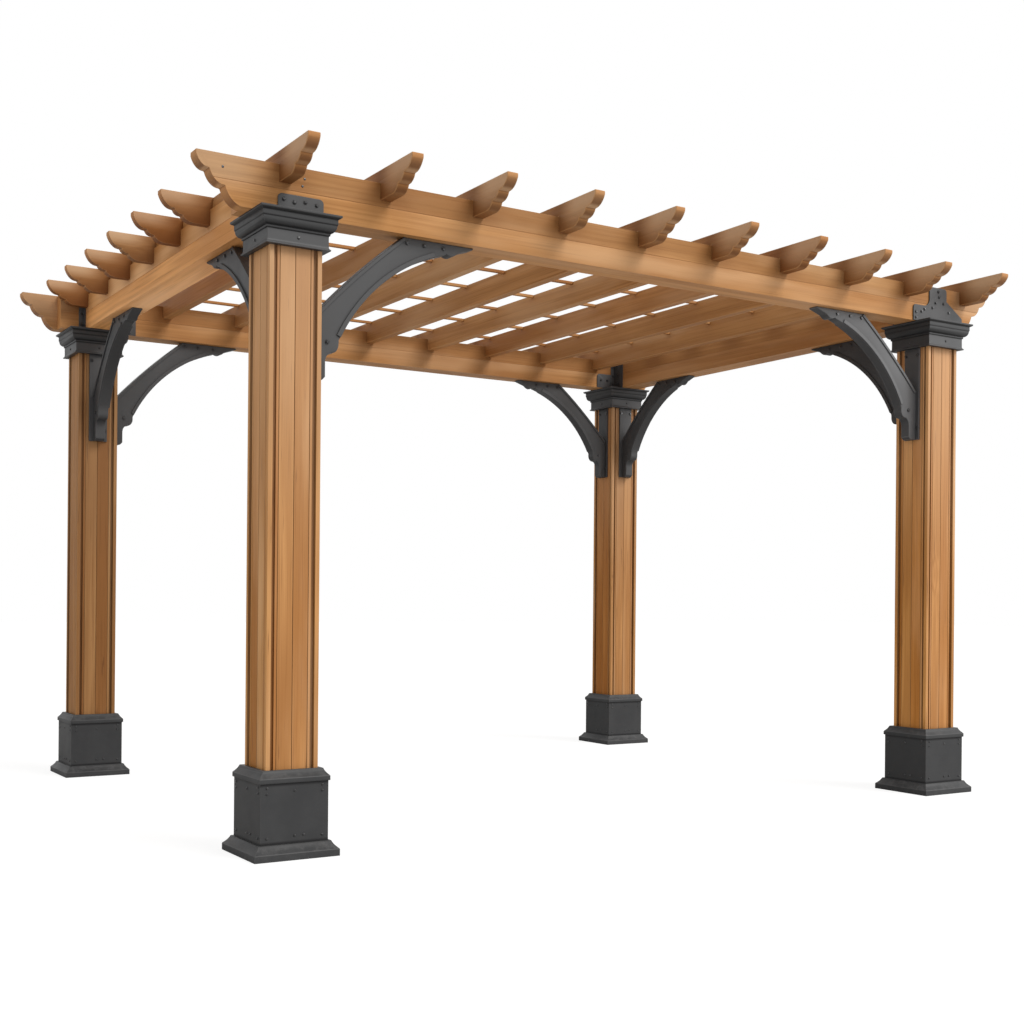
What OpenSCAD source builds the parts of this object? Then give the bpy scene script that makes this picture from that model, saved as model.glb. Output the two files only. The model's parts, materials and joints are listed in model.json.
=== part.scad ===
// Four-post garden pergola: clad timber posts on metal bases, metal capitals, scalloped
// beams and a two-way grid of scalloped rafters, stiffened by eight arched knee braces.
// Millimetres, +Z up, origin on the ground at the middle of the plan. Front is -Y.

/* [Layout] */
// Distance between post centres along the front
post_span_x = 3220; // [2800:10:4200]
// Distance between post centres from front to back
post_span_y = 2450; // [2200:10:3600]
// Height of the beams' undersides above the ground
soffit_z = 2180; // [2000:10:2600]

/* [Posts] */
// Width of the square clad post
post_w = 190; // [170:1:230]
// Width of the corner stile on each face
stile_w = 16; // [15:1:22]
// Depth of the panel behind the face of the stiles
panel_recess = 5; // [3:0.5:8]
// Width of the shadow groove between stile and panel
groove_w = 13; // [8:1:16]
// Depth of the shadow groove behind the face of the stiles
groove_depth = 12; // [8:0.5:14]
// Width of each of the two broad boards in a panel
board_w = 56; // [44:1:58]
// Width of the joints between the panel boards
joint_w = 2; // [1.5:0.5:4]
// Depth of the joints between the panel boards, behind the panel
joint_depth = 3; // [2:0.5:6]

/* [Bases] */
// How far the foot moulding stands out from the plinth
foot_proud = 31; // [24:1:44]
// Height of the upright edge of the foot
foot_edge_h = 24; // [18:1:32]
// Height of the whole foot moulding
foot_h = 52; // [44:1:66]
// Width of the flat ledge between the foot's slope and the plinth
foot_ledge = 8; // [4:1:14]
// Distance from the post's face out to the plinth's face
plinth_wall = 28; // [24:1:40]
// Height of the plinth box
plinth_h = 204; // [160:1:260]
// How far the collar's lip stands out from the plinth
collar_proud = 5; // [3:0.5:9]
// Height of the collar's lip
collar_lip_h = 16; // [10:1:20]
// Height of the collar's weathered slope
collar_slope_h = 26; // [20:1:40]
// Width of the flat top of the collar round the post
collar_rim = 14; // [8:0.5:18]
// Thickness of the base plate under the post
base_plate_t = 12; // [8:1:20]

/* [Capitals] */
// Distance from the post's face out to the face of the neck band
neck_wall = 17; // [12:1:26]
// Height of the neck band
neck_h = 52; // [44:1:76]
// How far the bead at the foot of the neck stands out
neck_bead = 6; // [3:0.5:8]
// Height of the bead at the foot of the neck
neck_bead_h = 16; // [10:1:20]
// How far the crown's top stands out from the neck
crown_proud = 35; // [30:1:50]
// Height of the crown above the neck
crown_h = 67; // [60:1:84]
// Thickness of the crown's flat top lip
crown_lip_h = 7; // [5:1:10]
// How far the lip stands out from the fascia under it
lip_over = 11; // [7:1:15]
// Height of the slanted underside of the lip
lip_slope_h = 6; // [4:1:9]
// Height of the crown's upright fascia
fascia_h = 19; // [14:1:24]
// Width of the sharp step under the fascia
fascia_step = 2; // [1:0.5:3]
// How far the fillet at the foot of the crown stands out from the neck
fillet_out = 4; // [2:0.5:6]
// Height of the fillet at the foot of the crown
fillet_h = 8; // [5:1:11]
// Thickness of the crown over the end of the post
crown_roof_t = 16; // [10:1:24]

/* [Beams] */
// Thickness of the main and side beams
beam_w = 120; // [100:1:140]
// Height of the main and side beams
beam_h = 166; // [150:1:210]
// Reach of the main beams beyond the post centres
beam_over = 340; // [300:5:420]
// Length of the scalloped end of a main beam
beam_tail = 165; // [140:1:190]
// Thickness of the scalloped ends, where the outer board runs on alone
tail_w = 57; // [46:1:70]
// Width of the joint at mid height, where a beam's two boards meet
seam_w = 2; // [1.5:0.5:4]
// Depth of the joint between a beam's two boards
seam_depth = 1.5; // [1:0.5:4]

/* [Rafters] */
// Number of rafters running from front to back
rafter_count = 10; // [8:1:12]
// Thickness of a rafter
rafter_w = 45; // [36:1:50]
// Height of a rafter
rafter_h = 108; // [98:1:126]
// How far a rafter hangs below the top of the beams
rafter_drop = 62; // [52:1:70]
// Reach of the rafters beyond the post centres
rafter_over = 302; // [270:1:350]
// Length of the scalloped end of a rafter
rafter_tail = 148; // [130:1:180]
// Distance of the first rafter outside the left post centres
rafter_out_left = 28; // [0:1:34]
// Distance of the last rafter outside the right post centres
rafter_out_right = 174; // [130:1:190]

/* [Cross rafters] */
// Number of cross rafters running from left to right
cross_count = 6; // [5:1:7]
// Thickness of a cross rafter
cross_w = 38; // [30:1:46]
// Thickness of a cross rafter's slim middle length, between the side beams
lath_w = 22; // [16:1:28]
// Reach of the cross rafters beyond the post centres
cross_over = 251; // [230:1:300]
// Length of the scalloped end of a cross rafter
cross_tail = 130; // [110:1:150]
// Height of the slim middle length, housed in the tops of the rafters
cross_lap = 12; // [9:1:20]
// Distance of the first cross rafter behind the front post centres
cross_in_front = 610; // [500:5:680]
// Gap between the last cross rafter and the angles on the back beam
cross_back_gap = 4; // [2:1:60]

/* [Scalloped ends] */
// Height of the upright nose at a beam's or rafter's tip
nose_h = 13; // [9:1:18]
// Radius of the hollow between two lobes
hollow_r = 6; // [3:0.5:8]

/* [Knee braces] */
// Thickness of a brace
brace_t = 48; // [40:1:60]
// Reach of a brace along the beam, from its backing strip
brace_reach = 634; // [560:1:680]
// Drop of a brace down the post, from the beam's underside
brace_drop = 544; // [500:1:600]
// Where the brace's upper edge meets the beam, from the strip
brace_toe = 346; // [300:1:380]
// Where the brace's upper edge meets the strip, below the beam
brace_heel = 322; // [290:1:350]
// Rise of the brace's upper edge above a straight line
brace_crown = 10; // [4:1:20]
// Rise of the arched lower edge above a straight line
brace_bow = 60; // [48:1:72]
// Depth of the brace's hooked end under the beam
brace_end_h = 41; // [34:1:48]
// Length of the brace's hooked end, from its tip to the arch
hook_len = 118; // [100:1:140]
// Depth of the nick between the arch and the bead under the hook
hook_nick = 4; // [2:0.5:7]
// Length of the bead under the hook
hook_bead_len = 52; // [40:1:60]
// How far the bead hangs below a straight line
hook_bead_drop = 11; // [6:1:14]
// Height of the hook behind the bead
hook_back_h = 26; // [20:1:30]
// Height of the upright face at the tip of the hook
hook_tip_h = 6; // [4:1:10]
// Height of the brace's rounded knuckle above its foot
brace_knuckle_z = 132; // [110:1:150]
// How far the knuckle stands out from the strip
brace_knuckle_out = 93; // [80:1:110]
// Length of the knuckle's upright face
knuckle_h = 12; // [8:1:18]
// Length of the curve from the knuckle down to the foot
ankle_h = 68; // [54:1:80]
// How far the foot stands out from the strip
brace_foot_out = 42; // [32:1:50]
// Size of the blunted corner under the foot
foot_blunt = 12; // [8:1:16]
// Width of the backing strip on the post
strip_w = 88; // [70:1:100]
// Thickness of the backing strip
strip_t = 10; // [8:1:14]

/* [Corner brackets] */
// Thickness of the bracket plates
plate_t = 6; // [4:0.5:10]
// Width of the low plate over a left-hand capital
low_plate_w = 168; // [140:1:220]
// Height of the low plate over a left-hand capital
low_plate_h = 68; // [54:1:80]
// Distance of the low plate's middle from the post's axis, towards the bay
low_plate_in = 28; // [0:1:40]
// Width of the foot of the bell plate over a right-hand capital
bell_w = 330; // [280:1:360]
// Height of the bell plate's shoulder, towards the bay
bell_h = 74; // [60:1:86]
// Width of the raised middle of the bell plate
bell_peak_w = 116; // [90:1:130]
// Height of the raised middle of the bell plate
bell_peak_h = 166; // [140:1:170]
// Radius of the hollow between the shoulder and the middle
bell_hollow_r = 34; // [24:1:44]
// Height where the slope towards the beam's end leaves the middle
bell_slope_h = 108; // [90:1:120]
// Height of the foot at the end of that slope
bell_toe_h = 40; // [30:1:50]
// Length of the angles' tongues along the main beams
tongue_len = 104; // [80:1:130]
// Height of the angles' tongues
tongue_h = 84; // [60:1:86]
// Corner radius of the plates
plate_r = 16; // [8:1:22]
// Width of each leg of the angles that hold the side beams
angle_leg = 28; // [22:1:40]
// Reach of the inner angle along the side beam
angle_reach = 90; // [60:1:110]
// Height of the angles that hold the side beams
angle_h = 150; // [120:1:160]

/* [Hidden] */

CEDAR = "peru";
CEDAR_DARK = "sienna";
CHARCOAL = "dimgray";

// Corners of the plan, as signs of X and Y
FRONT_LEFT = [-1, -1];
FRONT_RIGHT = [1, -1];
BACK_LEFT = [-1, 1];
BACK_RIGHT = [1, 1];

// The three lobes of a scalloped end, as shares of its length and of its height under the nose
BEAM_LOBES = [[0.285, 0.265], [0.33, 0.32], [0.385, 0.415]];
RAFTER_LOBES = [[0.42, 0.41], [0.31, 0.29], [0.27, 0.30]];
CROSS_LOBES = [[0.43, 0.52], [0.23, 0.21], [0.34, 0.27]];
// Where on a quarter ellipse a lobe starts, in degrees; from zero it would start upright
LOBE_START = 26;
// Straight steps in a lobe
ROUND_STEPS = 10;
// Straight steps in a small hollow
HOLLOW_STEPS = 4;
// Straight steps in a small moulding
MOULD_STEPS = 7;
// Straight steps in a brace's arch
ARCH_STEPS = 22;
// Share of a weathered slope's rise that is spread evenly; the rest comes at its steep end
EVEN_RISE = 0.72;

neck_half = post_w / 2 + neck_wall;
crown_half = neck_half + crown_proud;
plinth_half = post_w / 2 + plinth_wall;
foot_half = plinth_half + foot_proud;
base_h = foot_h + plinth_h + collar_lip_h + collar_slope_h;
capital_h = neck_h + crown_h;
beam_top_z = soffit_z + beam_h;
rafter_bottom_z = beam_top_z - rafter_drop;
rafter_top_z = rafter_bottom_z + rafter_h;
lap_z = rafter_top_z - cross_lap;
side_beam_len = post_span_y - beam_w;
rafter_pitch = (post_span_x + rafter_out_left + rafter_out_right) / (rafter_count - 1);
bay_half = (post_span_x - beam_w) / 2;
last_cross_y = post_span_y / 2 - beam_w / 2 - angle_leg - cross_back_gap - cross_w / 2;
cross_pitch = (last_cross_y + post_span_y / 2 - cross_in_front) / (cross_count - 1);
// Distance of a brace's strip from the post's axis: it lies on the recessed panel
strip_seat = post_w / 2 - panel_recess;
brace_seat = strip_seat + strip_t;
// A cutter reaches this far past the face that it opens
past = 5;

function reversed(list) = [for (i = [len(list) - 1:-1:0]) list[i]];
// Sum of the first n pairs of a list
function total(list, n) = n == 0 ? [0, 0] : list[n - 1] + total(list, n - 1);
function rafter_x(i) = -post_span_x / 2 - rafter_out_left + i * rafter_pitch;
function cross_y(i) = -post_span_y / 2 + cross_in_front + i * cross_pitch;

// Width of the housing for the cross rafters in a rafter's top
function housing_w(i) = abs(rafter_x(i)) + rafter_w / 2 < bay_half ? lath_w : cross_w;

// Lobe of a scalloped end from p, steep at its start and level at its end
function lobe(p, run, fall) =
    [for (k = [0:ROUND_STEPS])
        let (turn = LOBE_START + (90 - LOBE_START) * k / ROUND_STEPS)
        p + [
            run * (1 - cos(turn) / cos(LOBE_START)),
            fall * (sin(turn) - sin(LOBE_START)) / (1 - sin(LOBE_START))
        ]];

// Quarter ellipse from p, upright at its start and level at its end
function quarter_out(p, run, fall, steps) =
    [for (k = [0:steps]) p + [run * (1 - cos(90 * k / steps)), fall * sin(90 * k / steps)]];

// Quarter round from p, level at its start and upright at its end
function quarter_in(p, run, fall, steps) =
    [for (k = [0:steps]) p + [run * sin(90 * k / steps), fall * (1 - cos(90 * k / steps))]];

// Weathered slope from p inwards and up, steeper as it rises
function weathering(p, run, rise) =
    [for (k = [0:MOULD_STEPS])
        let (t = k / MOULD_STEPS)
        p + [-run * t, rise * (EVEN_RISE * t + (1 - EVEN_RISE) * pow(t, 4))]];

// Points of a shallow round arc from a to b, with the given rise on its left-hand side
function bowed(a, b, bow, steps) =
    let (
        chord = b - a,
        half = norm(chord) / 2,
        along = chord / (2 * half),
        across = [along[1], -along[0]],
        radius = (half * half + bow * bow) / (2 * bow),
        middle = (a + b) / 2
    )
    [for (k = [0:steps])
        let (x = half * (2 * k / steps - 1))
        middle + x * along + (sqrt(radius * radius - x * x) - radius + bow) * across];

// Scalloped end: distance from the tip and depth below the top edge, from the tip inwards
function scallop(length, height, lobes) =
    let (share = [[length, 0], [0, height - nose_h]])
    [
        [0, 0],
        for (i = [0:2])
            let (
                first_drop = i == 0 ? 0 : hollow_r,
                last_run = i == 2 ? 0 : hollow_r,
                start = [0, nose_h + first_drop] + total(lobes, i) * share,
                size = lobes[i] * share - [last_run, first_drop]
            )
            each concat(
                lobe(start, size[0], size[1]),
                i == 2 ? [] : quarter_in(start + size, hollow_r, hollow_r, HOLLOW_STEPS - 1)
            )
    ];

// Side view of a board with both ends scalloped: its top edge lies on zero
function board_outline(length, height, tail, lobes) =
    let (tip = [for (p = scallop(tail, height, lobes)) [p[0] - length / 2, -p[1]]])
    concat(tip, [for (p = reversed(tip)) [-p[0], p[1]]]);

module along_x(width) { rotate([90, 0, 0]) linear_extrude(width, center = true) children(); }
module along_y(width) { rotate([90, 0, 90]) linear_extrude(width, center = true) children(); }

// Square moulding with mitred corners from half a profile of half-width and height points
module square_moulding(profile, width) {
    outline = concat(profile, [for (p = reversed(profile)) [-p[0], p[1]]]);
    intersection() {
        along_x(width) polygon(outline);
        along_y(width) polygon(outline);
    }
}

module at_corner(corner) {
    translate([corner[0] * post_span_x / 2, corner[1] * post_span_y / 2, 0]) children();
}

// One face of the clad post: panel, shadow grooves and board joints cut behind the stiles
module post_face_cuts() {
    panel_w = post_w - 2 * stile_w;
    panel_face = post_w / 2 - panel_recess;
    translate([-panel_w / 2, panel_face]) square([panel_w, panel_recess + past]);
    for (side = [-1, 1])
        translate([side * (panel_w - groove_w) / 2 - groove_w / 2, post_w / 2 - groove_depth])
            square([groove_w, groove_depth + past]);
    for (place = [-board_w, 0, board_w])
        translate([place - joint_w / 2, panel_face - joint_depth]) square([joint_w, joint_depth + past]);
}

module post(corner) {
    color(CEDAR) at_corner(corner) translate([0, 0, base_plate_t])
        linear_extrude(soffit_z - crown_roof_t - base_plate_t) difference() {
            square(post_w, center = true);
            for (turn = [0:90:270]) rotate(turn) post_face_cuts();
        }
}

// Socket that takes the end of a post
module post_socket(bottom, top) {
    translate([-post_w / 2, -post_w / 2, bottom]) cube([post_w, post_w, top - bottom]);
}

// Half profile of the base, from the ground to the rim round the post
function base_profile() =
    let (
        lip = plinth_half + collar_proud,
        lip_z = foot_h + plinth_h,
        slope_z = lip_z + collar_lip_h
    )
    concat(
        [[foot_half, 0]],
        weathering([foot_half, foot_edge_h], foot_proud - foot_ledge, foot_h - foot_edge_h),
        [[plinth_half, foot_h], [plinth_half, lip_z], [lip, lip_z]],
        weathering([lip, slope_z], lip - post_w / 2 - collar_rim, collar_slope_h)
    );

module base(corner) {
    color(CHARCOAL) at_corner(corner) difference() {
        square_moulding(base_profile(), 2 * foot_half);
        post_socket(base_plate_t, base_h + past);
    }
}

// Half profile of the capital, from the foot of its neck to its top lip
function capital_profile() =
    let (
        bottom_z = soffit_z - capital_h,
        bead_z = bottom_z + neck_bead_h / 3,
        crown_z = bottom_z + neck_h,
        lip_z = soffit_z - crown_lip_h,
        slope_z = lip_z - lip_slope_h,
        fascia_z = slope_z - fascia_h,
        fascia = crown_half - lip_over,
        ovolo = [neck_half + fillet_out, crown_z + fillet_h]
    )
    concat(
        [[neck_half + neck_bead, bottom_z]],
        [for (p = quarter_in([0, 0], neck_bead, neck_bead_h * 2 / 3, MOULD_STEPS))
            [neck_half + neck_bead - p[0], bead_z + p[1]]],
        [[neck_half, crown_z], [neck_half + fillet_out, crown_z]],
        quarter_in(ovolo, fascia - fascia_step - ovolo[0], fascia_z - ovolo[1], MOULD_STEPS),
        [[fascia, fascia_z], [fascia, slope_z], [crown_half, lip_z], [crown_half, soffit_z]]
    );

module capital(corner) {
    color(CHARCOAL) at_corner(corner) difference() {
        square_moulding(capital_profile(), 2 * crown_half);
        post_socket(soffit_z - capital_h - past, soffit_z - crown_roof_t);
    }
}

// Joints along both faces of a beam that lies along X, at half its height
module beam_seams(length) {
    seam_z = soffit_z + (beam_h - seam_w) / 2;
    for (side = [-1, 1])
        translate([-length / 2, side * beam_w / 2 - (side > 0 ? seam_depth : past), seam_z])
            cube([length, seam_depth + past, seam_w]);
}

// Room beyond both ends of a main beam's inner board, beside the scalloped ends of the outer one
module inner_board_ends(side) {
    start = post_span_x / 2 + beam_over - beam_tail;
    inner_w = beam_w - tail_w;
    for (end = [-1, 1])
        translate([
            end > 0 ? start : -start - beam_tail - past,
            side > 0 ? -beam_w / 2 - past : beam_w / 2 - inner_w,
            soffit_z - past
        ])
            cube([beam_tail + past, inner_w + past, beam_h + 2 * past]);
}

module main_beam(side) {
    length = post_span_x + 2 * beam_over;
    color(CEDAR) translate([0, side * post_span_y / 2, 0]) difference() {
        translate([0, 0, beam_top_z])
            along_x(beam_w)
                polygon(board_outline(length, beam_h, beam_tail, BEAM_LOBES));
        beam_seams(length);
        inner_board_ends(side);
    }
}

module side_beam(side) {
    color(CEDAR) translate([side * post_span_x / 2, 0, 0]) rotate(90) difference() {
        translate([-side_beam_len / 2, -beam_w / 2, soffit_z]) cube([side_beam_len, beam_w, beam_h]);
        beam_seams(side_beam_len + 2 * past);
    }
}

// Room that a beam takes out of the boards that sit over it, measured along its length
module beam_seat(length) {
    translate([-length / 2, -beam_w / 2, soffit_z]) cube([length, beam_w, beam_h]);
}

module rafter(i) {
    color(CEDAR_DARK) difference() {
        translate([rafter_x(i), 0, rafter_top_z])
            along_y(rafter_w)
                polygon(board_outline(post_span_y + 2 * rafter_over, rafter_h, rafter_tail, RAFTER_LOBES));
        for (side = [-1, 1]) {
            translate([0, side * post_span_y / 2, 0]) beam_seat(post_span_x + 2 * beam_over);
            translate([side * post_span_x / 2, 0, 0]) rotate(90) beam_seat(post_span_y);
        }
        for (k = [0:cross_count - 1])
            translate([rafter_x(i) - rafter_w / 2 - past, cross_y(k) - housing_w(i) / 2, lap_z])
                cube([rafter_w + 2 * past, housing_w(i), cross_lap + past]);
    }
}

module cross_rafter(k) {
    over = post_span_x + beam_w;
    color(CEDAR_DARK) translate([0, cross_y(k), 0]) difference() {
        translate([0, 0, rafter_top_z])
            along_x(cross_w)
                polygon(board_outline(post_span_x + 2 * cross_over, rafter_h, cross_tail, CROSS_LOBES));
        translate([-over / 2, -cross_w / 2 - past, rafter_bottom_z - past])
            cube([over, cross_w + 2 * past, beam_top_z - rafter_bottom_z + past]);
        translate([-bay_half, -cross_w / 2 - past, rafter_bottom_z - past])
            cube([2 * bay_half, cross_w + 2 * past, lap_z - rafter_bottom_z + past]);
        for (side = [-1, 1])
            translate([-bay_half, side > 0 ? lath_w / 2 : -cross_w / 2 - past, lap_z - past])
                cube([2 * bay_half, (cross_w - lath_w) / 2 + past, cross_lap + 2 * past]);
        for (i = [0:rafter_count - 1])
            translate([rafter_x(i) - rafter_w / 2, -cross_w / 2 - past, rafter_bottom_z - past])
                cube([rafter_w, cross_w + 2 * past, lap_z - rafter_bottom_z + past]);
    }
}

// Upper edge of a brace, from the beam to the strip
function brace_upper() =
    [for (k = [0:ROUND_STEPS])
        let (t = k / ROUND_STEPS)
        [brace_toe * (1 - t), brace_heel * t] - brace_crown * sin(180 * t) * [1, 1] / sqrt(2)];

// Arched lower edge of a brace, from the knuckle to the hook
function brace_arch() =
    bowed(
        [brace_knuckle_out, brace_drop - brace_knuckle_z - knuckle_h],
        [brace_reach - hook_len, brace_end_h],
        brace_bow, ARCH_STEPS
    );

// Side view of a brace: distance out from the strip and depth below the beam
function brace_outline() =
    let (
        knuckle = [brace_knuckle_out, brace_drop - brace_knuckle_z],
        half_run = (brace_knuckle_out - brace_foot_out) / 2,
        half_fall = ankle_h / 2,
        bead_x = brace_reach - hook_len + hook_nick,
        bead_z = brace_end_h - hook_nick
    )
    concat(
        [[brace_reach, 0]],
        brace_upper(),
        [
            [0, brace_drop],
            [brace_foot_out - foot_blunt, brace_drop],
            [brace_foot_out, brace_drop - foot_blunt]
        ],
        reversed(concat(
            [for (p = quarter_out([0, 0], half_run, half_fall, MOULD_STEPS))
                [knuckle[0] - p[0], knuckle[1] + p[1]]],
            [for (p = quarter_in([0, 0], half_run, half_fall, MOULD_STEPS))
                [knuckle[0] - half_run - p[0], knuckle[1] + half_fall + p[1]]]
        )),
        brace_arch(),
        [for (k = [0:MOULD_STEPS])
            let (t = k / MOULD_STEPS, sag = hook_bead_drop * sin(180 * t))
            [bead_x + hook_bead_len * t, bead_z + (hook_back_h - bead_z) * t + sag]],
        [[brace_reach, hook_tip_h]]
    );

module below_beam(points) { polygon([for (p = points) [p[0], -p[1]]]); }

// Brace on one post, standing out along +X from the post's axis
module brace_body() {
    translate([brace_seat, 0, soffit_z]) along_x(brace_t) below_beam(brace_outline());
    translate([strip_seat, -strip_w / 2, soffit_z - brace_drop])
        cube([strip_t, strip_w, brace_drop - capital_h]);
}

module brace_x(corner) {
    color(CHARCOAL) at_corner(corner) rotate(corner[0] < 0 ? 0 : 180) brace_body();
}

module brace_y(corner) {
    color(CHARCOAL) at_corner(corner) rotate(corner[1] < 0 ? 90 : 270) brace_body();
}

// Plate outline standing on zero, with rounded top corners
module round_top_plate(width, height) {
    translate([-width / 2, 0]) square([width, height - plate_r]);
    translate([-width / 2 + plate_r, 0]) square([width - 2 * plate_r, height]);
    for (side = [-1, 1]) translate([side * (width / 2 - plate_r), height - plate_r]) circle(plate_r);
}

module low_plate() { translate([low_plate_in, 0]) round_top_plate(low_plate_w, low_plate_h); }

// Bell plate: a shoulder towards the bay on its left, a slope towards the beam's end on its right
module bell_plate() {
    shoulder_w = bell_w / 2 + bell_peak_w / 2;
    translate([(bell_peak_w - shoulder_w) / 2, 0]) round_top_plate(shoulder_w, bell_h);
    round_top_plate(bell_peak_w, bell_peak_h);
    translate([-bell_peak_w / 2, bell_h]) difference() {
        translate([-bell_hollow_r, 0]) square(bell_hollow_r);
        translate([-bell_hollow_r, bell_hollow_r]) circle(bell_hollow_r);
    }
    polygon([
        [0, 0], [bell_w / 2, 0], [bell_w / 2, bell_toe_h],
        [bell_peak_w / 2, bell_slope_h], [0, bell_slope_h]
    ]);
}

// Angle that ties the side beam to the main beam, with one leg on each
module angle(side, reach) {
    inner = beam_w / 2;
    translate([side > 0 ? inner : -inner - angle_leg, inner, soffit_z]) cube([angle_leg, plate_t, angle_h]);
    translate([side > 0 ? inner : -inner - plate_t, inner, soffit_z]) cube([plate_t, reach, angle_h]);
}

// Tongue of the angle on the inner side, along the main beam
module tongue(side) {
    reach = angle_leg + tongue_len;
    translate([side * (beam_w + reach) / 2, (beam_w + plate_t) / 2, soffit_z])
        along_x(plate_t) round_top_plate(reach, tongue_h);
}

// Bracket on one post: outer plate on the main beam's face and two angles at the inner corners
module bracket(corner) {
    color(CHARCOAL) at_corner(corner) mirror([0, corner[1] > 0 ? 1 : 0, 0]) {
        translate([0, -beam_w / 2 - plate_t / 2, soffit_z]) along_x(plate_t)
            if (corner[0] < 0) low_plate(); else bell_plate();
        angle(corner[0], angle_leg);
        angle(-corner[0], angle_reach);
        tongue(-corner[0]);
    }
}

base(FRONT_LEFT);  // base_front_left
base(FRONT_RIGHT);  // base_front_right
base(BACK_LEFT);  // base_back_left
base(BACK_RIGHT);  // base_back_right
post(FRONT_LEFT);  // post_front_left
post(FRONT_RIGHT);  // post_front_right
post(BACK_LEFT);  // post_back_left
post(BACK_RIGHT);  // post_back_right
capital(FRONT_LEFT);  // capital_front_left
capital(FRONT_RIGHT);  // capital_front_right
capital(BACK_LEFT);  // capital_back_left
capital(BACK_RIGHT);  // capital_back_right
main_beam(-1);  // front_beam
main_beam(1);  // back_beam
side_beam(-1);  // left_side_beam
side_beam(1);  // right_side_beam
brace_x(FRONT_LEFT);  // brace_front_left_x
brace_x(FRONT_RIGHT);  // brace_front_right_x
brace_x(BACK_LEFT);  // brace_back_left_x
brace_x(BACK_RIGHT);  // brace_back_right_x
brace_y(FRONT_LEFT);  // brace_front_left_y
brace_y(FRONT_RIGHT);  // brace_front_right_y
brace_y(BACK_LEFT);  // brace_back_left_y
brace_y(BACK_RIGHT);  // brace_back_right_y
bracket(FRONT_LEFT);  // bracket_front_left
bracket(FRONT_RIGHT);  // bracket_front_right
bracket(BACK_LEFT);  // bracket_back_left
bracket(BACK_RIGHT);  // bracket_back_right
rafter(0);  // rafter_01
rafter(1);  // rafter_02
rafter(2);  // rafter_03
rafter(3);  // rafter_04
rafter(4);  // rafter_05
rafter(5);  // rafter_06
rafter(6);  // rafter_07
rafter(7);  // rafter_08
rafter(8);  // rafter_09
rafter(9);  // rafter_10
cross_rafter(0);  // cross_rafter_1
cross_rafter(1);  // cross_rafter_2
cross_rafter(2);  // cross_rafter_3
cross_rafter(3);  // cross_rafter_4
cross_rafter(4);  // cross_rafter_5
cross_rafter(5);  // cross_rafter_6
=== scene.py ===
"""Looks of a four-post timber pergola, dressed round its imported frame.

Each timber and metal node is shown as a copy with eased edges, so that its arrises catch the
light as planed cedar and powder-coated steel do. Raised lips are added along the braces, and
rivets, screws and bolts where the bases, capitals, braces, brackets and beams carry them.
Metres, +Z up, front towards -Y.
"""

import json
import logging
import math
import random
from collections.abc import Iterator
from dataclasses import dataclass, replace
from enum import Enum
from typing import Any, ClassVar

import bmesh
import bpy
from bmesh.types import BMesh
from bpy.types import Light, Material, Mesh, Node, NodeSocket, Object, World
from mathutils import Matrix, Vector

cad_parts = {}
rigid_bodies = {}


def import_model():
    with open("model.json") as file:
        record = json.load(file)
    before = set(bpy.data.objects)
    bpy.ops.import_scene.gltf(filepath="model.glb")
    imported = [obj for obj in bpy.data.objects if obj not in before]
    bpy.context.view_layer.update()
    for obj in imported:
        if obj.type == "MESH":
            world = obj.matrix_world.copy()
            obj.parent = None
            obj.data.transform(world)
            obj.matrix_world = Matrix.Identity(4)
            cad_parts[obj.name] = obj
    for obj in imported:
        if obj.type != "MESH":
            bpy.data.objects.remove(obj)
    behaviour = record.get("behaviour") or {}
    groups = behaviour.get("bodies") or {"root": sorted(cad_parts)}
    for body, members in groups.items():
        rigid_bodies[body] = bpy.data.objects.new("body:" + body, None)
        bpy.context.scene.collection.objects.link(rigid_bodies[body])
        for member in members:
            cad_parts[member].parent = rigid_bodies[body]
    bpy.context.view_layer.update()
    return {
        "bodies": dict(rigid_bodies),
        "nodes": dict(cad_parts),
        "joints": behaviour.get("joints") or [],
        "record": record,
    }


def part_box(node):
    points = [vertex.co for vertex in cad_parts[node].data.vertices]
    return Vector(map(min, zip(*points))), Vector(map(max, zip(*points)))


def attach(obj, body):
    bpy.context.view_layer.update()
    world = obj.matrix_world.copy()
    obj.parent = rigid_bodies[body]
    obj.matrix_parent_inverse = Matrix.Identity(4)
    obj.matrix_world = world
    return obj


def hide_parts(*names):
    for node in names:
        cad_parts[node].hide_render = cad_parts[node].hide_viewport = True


LOG = logging.getLogger("pergola")
BODY = "root"
METAL_SLOT = "charcoal_metal"
SOFFIT = 2.180
SEED_SHIFT = 61.0

MERGE_DISTANCE = 1e-5
FLAT_ANGLE = math.radians(0.4)
SHARP_ANGLE = math.radians(28)
SMOOTH_ANGLE = math.radians(22)

Colour = tuple[float, float, float]
Point = tuple[float, float, float]
Spot = tuple[float, float]
Seat = tuple[Vector, Vector]
WHITE: Colour = (1.0, 1.0, 1.0)


class Grain(Enum):
    """Axis along which a board's fibres run."""

    ALONG_X = 0
    ALONG_Y = 1
    ALONG_Z = 2


class Corner(Enum):
    """Corner of the plan, as signs of X and Y."""

    FRONT_LEFT = (-1, -1)
    FRONT_RIGHT = (1, -1)
    BACK_LEFT = (-1, 1)
    BACK_RIGHT = (1, 1)

    @property
    def label(self) -> str:
        """Name of the corner as the nodes spell it."""
        return self.name.lower()


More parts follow.
